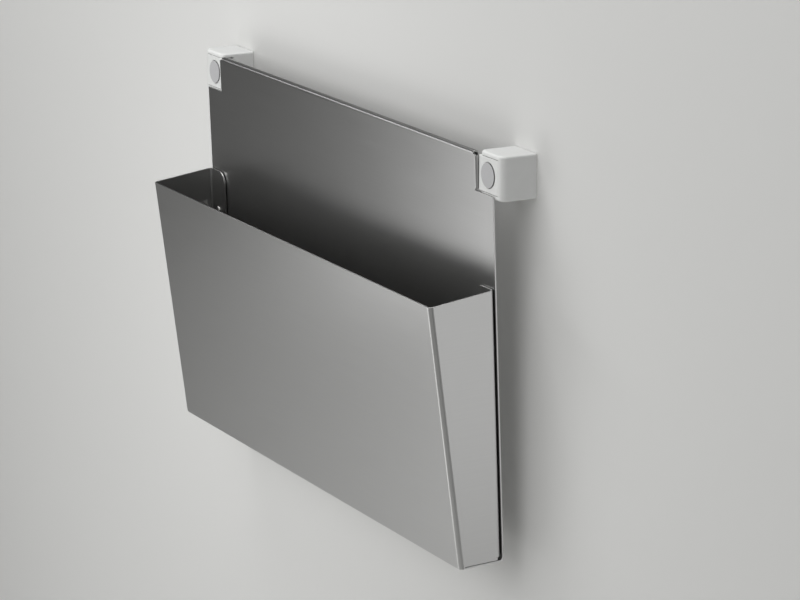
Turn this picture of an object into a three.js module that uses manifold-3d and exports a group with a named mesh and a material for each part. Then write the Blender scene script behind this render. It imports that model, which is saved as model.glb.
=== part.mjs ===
// Chart rack for the side of a clinic cabinet: a stainless steel back plate with a chart pocket,
// hung from two moulded corner blocks that hold it off the wall.
//
// Millimetres, +X to the right, -Y out of the wall, +Z up. The origin lies on the wall, midway
// between the two blocks and level with their clamp screws.

import * as THREE from 'three';
import { mergeVertices } from 'three/addons/utils/BufferGeometryUtils.js';
import Module from 'manifold-3d';

const wasm = await Module();
wasm.setup();

// Fits
const FIT = 0.3; // gap between neighbouring pieces
const LUG_PLAY = 0.6; // room above and below each lug inside its block

// Back plate and its floor
const SHEET = 1.0; // stainless sheet
const PLATE_WIDTH = 400;
const PLATE_HEIGHT = 258; // crown of the hem to the underside of the floor
const PLATE_RISE = 12.8; // crown of the hem above the clamp screws
const PLATE_LEAN = 2.15; // degrees, the foot stands nearer the wall than the top
const HEM_HEIGHT = 10;
const HEM_SPACE = 2.0; // clear space inside the open hem
const HEM_CROWN = 0.2; // short flat on top of the fold
const HEM_RELIEF = 2; // hem stops this far short of each notch
const FLOOR_BEND = 2.0; // inside radius where the plate turns into the floor
const LIP_HEIGHT = 12; // floor lip standing behind the front panel
const LIP_BEND = 1.0; // inside radius of the lip

// Lugs that step back from the plate into the blocks
const NOTCH_GAP = 0.7; // dark gap beside each block
const NOTCH_DROP = 0.8; // room under each block cover
const LUG_SETBACK = 10; // front of the plate to the front of the lug
const LUG_LENGTH = 19;
const LUG_BEND = 0.6; // inside radius of both lug bends

// Pocket
const POCKET_DROP = 87; // crown of the hem down to the front rim
const POCKET_DEPTH_TOP = 46; // front of the plate to the outside of the front panel
const POCKET_DEPTH_BOTTOM = 30;
const POCKET_BEND = 2.0; // inside radius of the upright corners
const FLANGE_WIDTH = 22;
const FLANGE_GAP = 0.75; // dark gap between each flange and the plate
const FLANGE_BEND = 1.5; // inside radius where each side turns into its flange
const FLANGE_CORNER = 8; // radius of the flange's free upper corner

// Rivets through the flanges
const RIVETS_PER_SIDE = 3;
const RIVET_RADIUS = 1.6;
const RIVET_HEAD_RADIUS = 3.2;
const RIVET_HEAD_HEIGHT = 1.4;
const RIVET_TAIL_RADIUS = 2.6;
const RIVET_TAIL_HEIGHT = 1.2;
const RIVET_TOP_MARGIN = 29; // upper end of the flange to the first rivet
const RIVET_BOTTOM_MARGIN = 16; // floor to the last rivet

// Corner blocks
const BLOCK_WIDTH = 27.5;
const BLOCK_HEIGHT = 28;
const BLOCK_DEPTH = 24.6;
const BLOCK_OVERHANG = 8.2; // block standing out past the plate's edge
const BLOCK_CORNER = 4.8; // radius of the two upright front edges
const BLOCK_EDGE = 1.6; // radius along the top and bottom edges
const COVER_WIDTH = 22.5;
const COVER_HEIGHT = 22;
const COVER_WEB = 1.7; // cover material left under the washer

// Clamp screw, washer, insert and cap
const SCREW_RADIUS = 2.45;
const SCREW_LENGTH = 14;
const SCREW_HEAD_RADIUS = 4.4;
const SCREW_HEAD_HEIGHT = 2.6;
const SCREW_SOCKET_RADIUS = 1.7; // corner radius of the hexagon
const SCREW_SOCKET_DEPTH = 1.6;
const WASHER_RADIUS = 5.0;
const WASHER_THICKNESS = 0.8;
const INSERT_RADIUS = 4.0;
const CAP_RADIUS = 7.8;
const CAP_THICKNESS = 2.0;
const CAP_RAISE = 0.6; // cap standing proud of the cover
const CAP_EDGE = 0.4; // radius round the cap's face
const CAP_SKIRT_WALL = 1.0;
const CAP_SKIRT_LENGTH = 3.6;

// Facets
const BEND_STEPS = 3; // half the facets of one bend
const BLOCK_STEPS = 4;
const TURNED_STEPS = 40;
const RIVET_STEPS = 24;
const DOME_STEPS = 5;

const LEAN = THREE.MathUtils.degToRad(PLATE_LEAN);

const steel = new THREE.MeshStandardMaterial({
  color: 0xa9a9a7, roughness: 0.34, metalness: 1.0, flatShading: true });
const whitePlastic = new THREE.MeshStandardMaterial({
  color: 0xe8eae8, roughness: 0.5, metalness: 0.0, flatShading: true });
const greyPlastic = new THREE.MeshStandardMaterial({
  color: 0xb1b1b3, roughness: 0.55, metalness: 0.0, flatShading: true });
const zincSteel = new THREE.MeshStandardMaterial({
  color: 0xc4c6c8, roughness: 0.3, metalness: 1.0, flatShading: true });
const brass = new THREE.MeshStandardMaterial({
  color: 0xc9a45a, roughness: 0.35, metalness: 1.0, flatShading: true });

// Shared shape tools

/** Turns a closed three.js geometry into a solid that can be joined and cut. */
function solid(geometry) {
  const bare = geometry.clone();
  bare.deleteAttribute('normal');
  bare.deleteAttribute('uv');
  const merged = mergeVertices(bare, 1e-4);
  const index = merged.index.array;
  const triVerts = [];
  for (let i = 0; i < index.length; i += 3) {
    const [a, b, c] = [index[i], index[i + 1], index[i + 2]];
    if (a !== b && b !== c && c !== a) triVerts.push(a, b, c);
  }
  return new wasm.Manifold(new wasm.Mesh({
    numProp: 3,
    vertProperties: new Float32Array(merged.attributes.position.array),
    triVerts: new Uint32Array(triVerts),
  }));
}

/** Makes the named mesh of one piece from its solid. */
function piece(name, body, material) {
  const { vertProperties, triVerts } = body.getMesh();
  const geometry = new THREE.BufferGeometry();
  geometry.setAttribute('position', new THREE.BufferAttribute(vertProperties, 3));
  geometry.setIndex(new THREE.BufferAttribute(triVerts, 1));
  geometry.computeVertexNormals();
  const mesh = new THREE.Mesh(geometry, material);
  mesh.name = name;
  return mesh;
}

/** A box between two opposite corners. */
function box([xa, ya, za], [xb, yb, zb]) {
  const geometry = new THREE.BoxGeometry(Math.abs(xb - xa), Math.abs(yb - ya), Math.abs(zb - za));
  return solid(geometry.translate((xa + xb) / 2, (ya + yb) / 2, (za + zb) / 2));
}

/** Extrudes an outline drawn in Y and Z between two places along X. */
function alongX(outline, xa, xb, steps = BEND_STEPS) {
  const geometry = new THREE.ExtrudeGeometry(outline, {
    depth: Math.abs(xb - xa), bevelEnabled: false, curveSegments: steps });
  const axes = new THREE.Matrix4().makeBasis(
    new THREE.Vector3(0, 1, 0), new THREE.Vector3(0, 0, 1), new THREE.Vector3(1, 0, 0));
  return solid(geometry.applyMatrix4(axes).translate(Math.min(xa, xb), 0, 0));
}

/** Extrudes an outline drawn in X and Z between two places along Y. */
function alongY(outline, ya, yb, steps = BEND_STEPS) {
  const geometry = new THREE.ExtrudeGeometry(outline, {
    depth: Math.abs(yb - ya), bevelEnabled: false, curveSegments: steps });
  return solid(geometry.rotateX(Math.PI / 2).translate(0, Math.max(ya, yb), 0));
}

/** Extrudes an outline drawn in X and Y between two heights. */
function alongZ(outline, za, zb, steps = BEND_STEPS) {
  const geometry = new THREE.ExtrudeGeometry(outline, {
    depth: Math.abs(zb - za), bevelEnabled: false, curveSegments: steps });
  return solid(geometry.translate(0, 0, Math.min(za, zb)));
}

/** Revolves a profile of [radius, y] points round the Y axis. */
function turned(profile, steps = TURNED_STEPS) {
  const points = profile.map(([radius, y]) => new THREE.Vector2(radius, y));
  return solid(new THREE.LatheGeometry(points, steps));
}

/** A round bar along Y, for holes. */
function bar(radius, ya, yb, x = 0, z = 0, steps = TURNED_STEPS) {
  const geometry = new THREE.CylinderGeometry(radius, radius, Math.abs(yb - ya), steps);
  return solid(geometry.translate(x, (ya + yb) / 2, z));
}

/** Joins two closed rings of points, one above the other, into a solid. */
function loft(lower, upper) {
  const count = lower.length;
  const positions = [...lower, ...upper].flatMap((point) => point.toArray());
  const flat = lower.map((point) => new THREE.Vector2(point.x, point.y));
  const index = [];
  for (const [a, b, c] of THREE.ShapeUtils.triangulateShape(flat, [])) {
    index.push(a, c, b, a + count, b + count, c + count);
  }
  for (let i = 0; i < count; i += 1) {
    const next = (i + 1) % count;
    index.push(i, next, next + count, i, next + count, i + count);
  }
  const geometry = new THREE.BufferGeometry();
  geometry.setAttribute('position', new THREE.Float32BufferAttribute(positions, 3));
  geometry.setIndex(index);
  return solid(geometry);
}

/** Point beside the first corner of a strip, at an offset to the left of its middle line. */
function besideFirst(corners, offset) {
  const way = corners[1].at.clone().sub(corners[0].at).normalize();
  return corners[0].at.clone().add(new THREE.Vector2(-way.y, way.x).multiplyScalar(offset));
}

/** Draws the bends of a strip as arcs, at an offset to the left of its middle line. */
function traceBends(path, corners, offset) {
  for (let i = 1; i < corners.length - 1; i += 1) {
    const { at, bend } = corners[i];
    const before = at.clone().sub(corners[i - 1].at).normalize();
    const after = corners[i + 1].at.clone().sub(at).normalize();
    const turn = Math.sign(before.cross(after));
    const half = Math.acos(THREE.MathUtils.clamp(before.dot(after), -1, 1)) / 2;
    const inward = after.clone().sub(before).normalize();
    const centre = at.clone().add(inward.multiplyScalar(bend / Math.cos(half)));
    const from = new THREE.Vector2(turn * before.y, -turn * before.x).angle();
    const to = new THREE.Vector2(turn * after.y, -turn * after.x).angle();
    path.absarc(centre.x, centre.y, bend - turn * offset, from, to, turn < 0);
  }
}

/** Outline of a bent sheet whose middle line runs through the given corners. */
function sheetOutline(corners) {
  const half = SHEET / 2;
  const back = [...corners].reverse();
  const start = besideFirst(corners, half);
  const outline = new THREE.Shape().moveTo(start.x, start.y);
  for (const [there, home] of [[corners, back], [back, corners]]) {
    traceBends(outline, there, half);
    for (const end of [besideFirst(home, -half), besideFirst(home, half)]) outline.lineTo(end.x, end.y);
  }
  return outline;
}

/** A corner of a sheet's middle line, with the inside radius of its bend. */
const corner = (x, y, inside = 0) => ({
  at: new THREE.Vector2(x, y), bend: inside + SHEET / 2 });

// Places shared by several pieces. The rack's own frame is upright: its Y = 0 is the rear of the
// plate and its Z = 0 the height of the clamp screws.

const plateTop = PLATE_RISE;
const floorUnder = PLATE_RISE - PLATE_HEIGHT;
const floorTop = floorUnder + SHEET;
const plateFront = -SHEET;
const plateHalf = PLATE_WIDTH / 2;
const blockInnerX = plateHalf + BLOCK_OVERHANG - BLOCK_WIDTH;
const screwX = blockInnerX + COVER_WIDTH / 2;
const lugFront = plateFront + LUG_SETBACK;
const lugRear = lugFront + SHEET;
const lugHalf = COVER_HEIGHT / 2 - LUG_PLAY;
const flangeRear = plateFront - FLANGE_GAP;
const flangeFront = flangeRear - SHEET;
const frontTop = plateFront - POCKET_DEPTH_TOP;
const frontBottom = plateFront - POCKET_DEPTH_BOTTOM;
const rimZ = PLATE_RISE - POCKET_DROP;
const frontTilt = Math.atan2(POCKET_DEPTH_TOP - POCKET_DEPTH_BOTTOM, rimZ - floorUnder);
const flangeTopZ = rimZ + (flangeRear - frontTop) * Math.tan(frontTilt);
const rivetX = plateHalf - FLANGE_WIDTH / 2;
const plateStandoff = BLOCK_DEPTH + FIT + (BLOCK_HEIGHT / 2) * Math.tan(LEAN);

/** World Y, at a height, of a plane that lies at rackY in the leaning rack. */
const leaningY = (rackY, z) => -plateStandoff + rackY / Math.cos(LEAN) - z * Math.tan(LEAN);

/** Heights of the rivets in one flange. */
function rivetHeights() {
  const first = flangeTopZ - RIVET_TOP_MARGIN;
  const last = floorTop + RIVET_BOTTOM_MARGIN;
  const pitch = (first - last) / Math.max(RIVETS_PER_SIDE - 1, 1);
  return Array.from({ length: RIVETS_PER_SIDE }, (_, i) => first - i * pitch);
}

/** Clearance hole for a rivet, through flange and plate. */
const rivetHole = (side, z) => bar(
  RIVET_RADIUS + FIT, flangeFront - SHEET, SHEET, side * rivetX, z, RIVET_STEPS);

// Back plate

/** Section of the plate from the hem's free edge over the crown, down, and along the floor. */
function plateSection() {
  const plateMid = plateFront + SHEET / 2;
  const hemMid = plateMid + SHEET + HEM_SPACE;
  const crownMid = plateTop - SHEET / 2;
  const floorMid = floorUnder + SHEET / 2;
  const slope = Math.tan(frontTilt);
  const lipMid = (FIT + SHEET / 2) / Math.cos(frontTilt) + frontBottom + SHEET;
  const lipFootY = lipMid - (floorMid - floorUnder) * slope;
  const lipTopY = lipFootY - LIP_HEIGHT * slope;
  const hemBend = (HEM_SPACE - HEM_CROWN) / 2;
  return sheetOutline([
    corner(hemMid, plateTop - HEM_HEIGHT),
    corner(hemMid, crownMid, hemBend),
    corner(plateMid, crownMid, hemBend),
    corner(plateMid, floorMid, FLOOR_BEND),
    corner(lipFootY, floorMid, LIP_BEND),
    corner(lipTopY, floorMid + LIP_HEIGHT),
  ]);
}

/** Section, seen from above, of a lug that steps back from the plate and runs into its block. */
function lugSection(side) {
  const webX = blockInnerX - NOTCH_GAP - SHEET / 2;
  const plateMid = plateFront + SHEET / 2;
  const lugMid = lugFront + SHEET / 2;
  return sheetOutline([
    corner(side * (notchX - 2 * SHEET), plateMid),
    corner(side * webX, plateMid, LUG_BEND),
    corner(side * webX, lugMid, LUG_BEND),
    corner(side * (webX + LUG_LENGTH), lugMid),
  ]);
}

const notchX = blockInnerX - NOTCH_GAP - SHEET - LUG_BEND;
const notchZ = -COVER_HEIGHT / 2 - NOTCH_DROP;

function backPlate() {
  let plate = alongX(plateSection(), -plateHalf, plateHalf);
  const behind = LUG_SETBACK + SHEET;
  const floorNotchX = plateHalf - SHEET - POCKET_BEND - FIT;
  const floorNotchY = frontBottom + SHEET + POCKET_BEND + 2 * FIT;
  for (const side of [-1, 1]) {
    const outside = side * (plateHalf + SHEET);
    plate = plate
      .subtract(box([side * notchX, plateFront - SHEET, notchZ], [outside, behind, plateTop + SHEET]))
      .subtract(box([side * (notchX - HEM_RELIEF), 0, plateTop - HEM_HEIGHT - SHEET],
        [outside, behind, plateTop + SHEET]))
      .subtract(box([side * floorNotchX, floorNotchY, floorUnder - SHEET],
        [outside, frontTop - SHEET, floorTop + LIP_HEIGHT + SHEET]))
      .add(alongZ(lugSection(side), -lugHalf, lugHalf));
    const holeZ = -(lugFront + SHEET / 2) * Math.tan(LEAN);
    plate = plate.subtract(bar(SCREW_RADIUS + FIT, lugFront - SHEET, lugRear + SHEET,
      side * screwX, holeZ));
    for (const z of rivetHeights()) plate = plate.subtract(rivetHole(side, z));
  }
  return plate;
}

// Pocket shell

/** Ring of the shell's section, seen from above, for one place of the front panel. */
function shellRing(frontY, heightAt) {
  const sideMid = plateHalf - SHEET / 2;
  const flangeMid = flangeRear - SHEET / 2;
  const frontMid = frontY + SHEET / 2;
  const flangeEnd = plateHalf - FLANGE_WIDTH;
  const outline = sheetOutline([
    corner(flangeEnd, flangeMid),
    corner(sideMid, flangeMid, FLANGE_BEND),
    corner(sideMid, frontMid, POCKET_BEND),
    corner(-sideMid, frontMid, POCKET_BEND),
    corner(-sideMid, flangeMid, FLANGE_BEND),
    corner(-flangeEnd, flangeMid),
  ]);
  const points = outline.getPoints(BEND_STEPS);
  if (points[0].distanceTo(points[points.length - 1]) < SHEET / 10) points.pop();
  if (THREE.ShapeUtils.isClockWise(points)) points.reverse();
  return points.map((point) => new THREE.Vector3(point.x, point.y, heightAt(point.y)));
}

/** What is cut from a flange to round its free upper corner. */
function flangeCornerCut(side) {
  const free = plateHalf - FLANGE_WIDTH;
  const top = flangeTopZ + SHEET;
  const outline = new THREE.Shape();
  outline.moveTo(side * (free - SHEET), top);
  outline.lineTo(side * (free + FLANGE_CORNER), top);
  outline.lineTo(side * (free + FLANGE_CORNER), flangeTopZ);
  const middle = [side * (free + FLANGE_CORNER), flangeTopZ - FLANGE_CORNER];
  outline.absarc(...middle, FLANGE_CORNER, Math.PI / 2, side > 0 ? Math.PI : 0, side < 0);
  outline.lineTo(side * (free - SHEET), flangeTopZ - FLANGE_CORNER);
  outline.closePath();
  return alongY(outline, flangeFront - SHEET, 0, BLOCK_STEPS);
}

function pocketShell() {
  const rimAt = (y) => rimZ + (y - frontTop) * Math.tan(frontTilt);
  let shell = loft(shellRing(frontBottom, () => floorUnder), shellRing(frontTop, rimAt));
  const outside = plateHalf + SHEET;
  const sideFoot = frontBottom + SHEET + POCKET_BEND + FIT;
  const bendRoom = FLOOR_BEND + FIT;
  shell = shell
    .subtract(box([-outside, sideFoot, floorUnder - SHEET], [outside, 0, floorTop + FIT]))
    .subtract(box([-outside, plateFront - bendRoom, floorUnder], [outside, 0, floorTop + bendRoom]));
  for (const side of [-1, 1]) {
    shell = shell.subtract(flangeCornerCut(side));
    for (const z of rivetHeights()) shell = shell.subtract(rivetHole(side, z));
  }
  return shell;
}

/** A dome-headed rivet along Y, with its head in front of the flange and its tail behind the plate. */
function rivet() {
  const headSeat = flangeFront - FIT;
  const tailSeat = FIT;
  const dome = Array.from({ length: DOME_STEPS + 1 }, (_, i) => {
    const angle = (Math.PI / 2) * (1 - i / DOME_STEPS);
    return [RIVET_HEAD_RADIUS * Math.cos(angle), headSeat - RIVET_HEAD_HEIGHT * Math.sin(angle)];
  });
  return turned([
    ...dome,
    [RIVET_RADIUS, headSeat],
    [RIVET_RADIUS, tailSeat],
    [RIVET_TAIL_RADIUS, tailSeat],
    [RIVET_TAIL_RADIUS, tailSeat + RIVET_TAIL_HEIGHT],
    [0, tailSeat + RIVET_TAIL_HEIGHT],
  ], RIVET_STEPS);
}

// Corner blocks. Each is drawn about its own clamp screw, with side = 1 for the right-hand block.

const coverSeatY = leaningY(lugFront - FIT, 0); // rear of the cover at the screw
const bodySeatY = leaningY(lugRear + FIT, 0); // floor of the block's recess at the screw
const capSeatY = -BLOCK_DEPTH - CAP_RAISE + CAP_THICKNESS; // underside of the cap's disc
const washerSeatY = coverSeatY - COVER_WEB;
const headSeatY = washerSeatY - 2 * FIT - WASHER_THICKNESS; // underside of the screw head
const skirtRadius = WASHER_RADIUS + FIT + CAP_SKIRT_WALL;

/** Side outline of the recess or the cover, with its rear face leaning like the rack. */
function leaningOutline(frontY, halfHeight, rackY) {
  const outline = new THREE.Shape();
  outline.moveTo(frontY, -halfHeight);
  outline.lineTo(leaningY(rackY, -halfHeight), -halfHeight);
  outline.lineTo(leaningY(rackY, halfHeight), halfHeight);
  outline.lineTo(frontY, halfHeight);
  outline.closePath();
  return outline;
}

/** Block seen from above: square at the wall, round at the two upright front edges. */
function blockOutline(side) {
  const inner = -side * (COVER_WIDTH / 2);
  const outer = side * (BLOCK_WIDTH - COVER_WIDTH / 2);
  const [left, right] = [Math.min(inner, outer), Math.max(inner, outer)];
  const outline = new THREE.Shape();
  outline.moveTo(right, BLOCK_EDGE);
  outline.lineTo(left, BLOCK_EDGE);
  outline.absarc(left + BLOCK_CORNER, -BLOCK_DEPTH + BLOCK_CORNER, BLOCK_CORNER,
    Math.PI, 1.5 * Math.PI, false);
  outline.absarc(right - BLOCK_CORNER, -BLOCK_DEPTH + BLOCK_CORNER, BLOCK_CORNER,
    1.5 * Math.PI, 2 * Math.PI, false);
  outline.closePath();
  return outline;
}

function blockBody(side) {
  const rounded = new THREE.ExtrudeGeometry(blockOutline(side), {
    depth: BLOCK_HEIGHT - 2 * BLOCK_EDGE,
    bevelThickness: BLOCK_EDGE, bevelSize: BLOCK_EDGE, bevelOffset: -BLOCK_EDGE,
    bevelSegments: BLOCK_STEPS, curveSegments: BLOCK_STEPS,
  }).translate(0, 0, -BLOCK_HEIGHT / 2 + BLOCK_EDGE);
  const recess = leaningOutline(-2 * BLOCK_DEPTH, COVER_HEIGHT / 2 + FIT, lugRear + FIT);
  return solid(rounded)
    .subtract(box([-BLOCK_WIDTH, 0, -BLOCK_HEIGHT], [BLOCK_WIDTH, 2 * BLOCK_EDGE, BLOCK_HEIGHT]))
    .subtract(alongX(recess, -side * BLOCK_WIDTH, side * (COVER_WIDTH / 2 + FIT)))
    .subtract(bar(INSERT_RADIUS + FIT, bodySeatY - BLOCK_EDGE, BLOCK_EDGE));
}

function clampCover() {
  const outline = leaningOutline(-BLOCK_DEPTH, COVER_HEIGHT / 2, lugFront - FIT);
  return alongX(outline, -COVER_WIDTH / 2, COVER_WIDTH / 2)
    .subtract(bar(CAP_RADIUS + FIT, -2 * BLOCK_DEPTH, capSeatY + FIT))
    .subtract(bar(skirtRadius + FIT, -2 * BLOCK_DEPTH, washerSeatY))
    .subtract(bar(SCREW_RADIUS + FIT, -2 * BLOCK_DEPTH, 0));
}

/** Cap: a raised disc with a skirt that plugs into the cover round the screw head. */
function coverCap() {
  const face = -BLOCK_DEPTH - CAP_RAISE;
  const inside = skirtRadius - CAP_SKIRT_WALL;
  return turned([
    [0, face],
    [CAP_RADIUS - CAP_EDGE, face],
    [CAP_RADIUS - CAP_EDGE * (1 - Math.SQRT1_2), face + CAP_EDGE * (1 - Math.SQRT1_2)],
    [CAP_RADIUS, face + CAP_EDGE],
    [CAP_RADIUS, capSeatY],
    [skirtRadius, capSeatY],
    [skirtRadius, capSeatY + CAP_SKIRT_LENGTH],
    [inside, capSeatY + CAP_SKIRT_LENGTH],
    [inside, capSeatY],
    [0, capSeatY],
  ]);
}

/** Clamp screw with a hexagon socket; its thread is left plain. */
function clampScrew() {
  const top = headSeatY - SCREW_HEAD_HEIGHT;
  const shape = turned([
    [0, top],
    [SCREW_HEAD_RADIUS, top],
    [SCREW_HEAD_RADIUS, headSeatY],
    [SCREW_RADIUS, headSeatY],
    [SCREW_RADIUS, headSeatY + SCREW_LENGTH],
    [0, headSeatY + SCREW_LENGTH],
  ]);
  const hexagon = 6;
  return shape.subtract(bar(SCREW_SOCKET_RADIUS, top - SHEET, top + SCREW_SOCKET_DEPTH, 0, 0, hexagon));
}

/** A plain sleeve along Y; it serves as the washer and as the threaded insert. */
function sleeve(outer, ya, yb) {
  const inner = SCREW_RADIUS + FIT;
  return turned([[outer, ya], [outer, yb], [inner, yb], [inner, ya], [outer, ya]]);
}

// Assembly

const rack = new THREE.Group();
rack.position.y = -plateStandoff;
rack.rotation.x = LEAN;
rack.add(piece('back_plate', backPlate(), steel), piece('pocket_shell', pocketShell(), steel));

const chartRack = new THREE.Group();
chartRack.add(rack);

for (const [label, side] of [['left', -1], ['right', 1]]) {
  rivetHeights().forEach((z, i) => {
    const fastener = piece(`flange_rivet_${label}_${i + 1}`, rivet(), steel);
    fastener.position.set(side * rivetX, 0, z);
    rack.add(fastener);
  });
  const block = new THREE.Group();
  block.position.x = side * screwX;
  block.add(
    piece(`block_body_${label}`, blockBody(side), whitePlastic),
    piece(`clamp_cover_${label}`, clampCover(), whitePlastic),
    piece(`cover_cap_${label}`, coverCap(), greyPlastic),
    piece(`clamp_screw_${label}`, clampScrew(), zincSteel),
    piece(`washer_${label}`, sleeve(WASHER_RADIUS, washerSeatY - FIT - WASHER_THICKNESS,
      washerSeatY - FIT), zincSteel),
    piece(`threaded_insert_${label}`, sleeve(INSERT_RADIUS, bodySeatY + FIT, -FIT), brass),
  );
  chartRack.add(block);
}

export default chartRack;
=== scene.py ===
"""Looks of a wall-hung chart rack: a stainless steel pocket held by two moulded corner blocks."""

import logging
import math
from collections.abc import Callable, Sequence
from dataclasses import dataclass
from enum import Enum
from functools import partial

import bmesh
import bpy
from bpy.types import Material, Node, NodeSocket, NodeTree, Object
from mathutils import Matrix, Vector


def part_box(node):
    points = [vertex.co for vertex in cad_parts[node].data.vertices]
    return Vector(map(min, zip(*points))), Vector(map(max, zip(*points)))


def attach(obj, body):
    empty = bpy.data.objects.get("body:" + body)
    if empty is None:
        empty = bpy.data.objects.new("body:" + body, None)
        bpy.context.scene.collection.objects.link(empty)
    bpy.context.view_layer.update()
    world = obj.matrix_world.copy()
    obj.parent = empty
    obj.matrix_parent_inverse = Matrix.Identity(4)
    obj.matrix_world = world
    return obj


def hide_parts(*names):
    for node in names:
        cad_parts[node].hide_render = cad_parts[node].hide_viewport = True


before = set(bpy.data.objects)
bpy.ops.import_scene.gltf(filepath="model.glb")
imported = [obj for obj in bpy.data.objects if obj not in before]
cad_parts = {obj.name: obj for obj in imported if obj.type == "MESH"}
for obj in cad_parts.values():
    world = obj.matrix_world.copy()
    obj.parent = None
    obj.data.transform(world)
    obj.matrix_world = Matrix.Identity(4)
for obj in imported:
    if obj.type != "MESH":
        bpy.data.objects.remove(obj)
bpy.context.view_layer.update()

LOG = logging.getLogger("chart_rack")
MM = 0.001
TINY = 1e-4  # millimetres, closer places count as one
GRAIN_MAP = "grain"  # each sheet laid flat in metres, first axis along its grain
FIT = 0.3  # millimetres between neighbouring pieces

# Facets of one bend, one rounded corner, one turned piece and one pitch of a thread
BEND_STEPS = 12
CORNER_STEPS = 10
TURNED_STEPS = 64
THREAD_STEPS = 8

SHARP = math.radians(50)  # edges that turn by more are broken
NOISE_LOW, NOISE_HIGH = 0.3, 0.7  # range that a noise pattern mostly keeps to

Point = tuple[float, float]
Place = tuple[float, float, float]
Radius = float | Callable[[float], float]  # fixed, or worked out from the angle


class Body(Enum):
    """Bodies of the frame that pieces ride on."""

    RACK = "rack"
    CAP_LEFT = "cap_left"
    CAP_RIGHT = "cap_right"


class Slot(Enum):
    """Material slots of the record."""

    SHEET = "sheet_steel"
    RIVET = "rivet_steel"
    BLOCK = "block_plastic"
    CAP = "cap_plastic"
    SCREW = "screw_zinc"
    INSERT = "insert_brass"


class Side(Enum):
    """End of the rack that a piece belongs to, with its direction along X."""

    LEFT = -1
    RIGHT = 1

    @property
    def label(self) -> str:
        """Name of the side as the nodes spell it."""
        return self.name.lower()


# Finishes


def linear(colour: str) -> tuple[float, float, float, float]:
    """Turn an sRGB hex colour into linear light.

    Args:
        colour: six hex digits after a hash sign.

    Returns:
        Red, green, blue and full opacity.
    """
    channels = [int(colour[i:i + 2], 16) / 255 for i in (1, 3, 5)]
    return (*((c / 12.92 if c <= 0.04045 else ((c + 0.055) / 1.055) ** 2.4) for c in channels), 1.0)


def add_node(
    tree: NodeTree, kind: str, inputs: dict[str | int, object], **settings: object
) -> Node:
    """Add a shader node, with its settings, values and links.

    Args:
        tree: node tree that gets the node.
        kind: Blender's name of the node's type.
        inputs: what each input takes, an output socket to link or a value to set.
        settings: properties of the node itself.

    Returns:
        The new node.
    """
    node = tree.nodes.new(kind)
    for name, value in settings.items():
        setattr(node, name, value)
    for name, value in inputs.items():
        if isinstance(value, NodeSocket):
            tree.links.new(value, node.inputs[name])
        else:
            node.inputs[name].default_value = value
    return node


@dataclass(frozen=True)
class Finish:
    """Surface named for what it is made of and how, as a node material."""

    name: str

    def surface(self, tree: NodeTree) -> NodeSocket:
        """Add the nodes of the surface; each kind of finish has its own."""
        raise NotImplementedError

    def make(self) -> Material:
        """Build the node material.

        Returns:
            The new material.
        """
        material = bpy.data.materials.new(self.name)
        material.use_nodes = True
        tree = material.node_tree
        tree.nodes.clear()
        add_node(tree, "ShaderNodeOutputMaterial", {"Surface": self.surface(tree)})
        return material


@dataclass(frozen=True)
class VariedFinish(Finish):
    """Finish whose tone and roughness vary a little over the surface."""

    dark: str
    light: str
    roughness: float
    roughness_spread: float

    def varied(self, tree: NodeTree, tones: Node, blurs: Node) -> dict[str, NodeSocket]:
        """Let noise patterns drive the tone and the roughness.

        Args:
            tree: node tree of the material.
            tones: pattern of the tone.
            blurs: pattern of the roughness.

        Returns:
            What the shader's colour and roughness take.
        """
        colour = add_node(tree, "ShaderNodeValToRGB", {"Fac": tones.outputs["Fac"]})
        for stop, tone in zip(colour.color_ramp.elements, (self.dark, self.light)):
            stop.color = linear(tone)
        blur = add_node(tree, "ShaderNodeMapRange", {
            "Value": blurs.outputs["Fac"], "From Min": NOISE_LOW, "From Max": NOISE_HIGH,
            "To Min": self.roughness - self.roughness_spread,
            "To Max": self.roughness + self.roughness_spread})
        return {"Base Color": colour.outputs["Color"], "Roughness": blur.outputs["Result"]}


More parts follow.
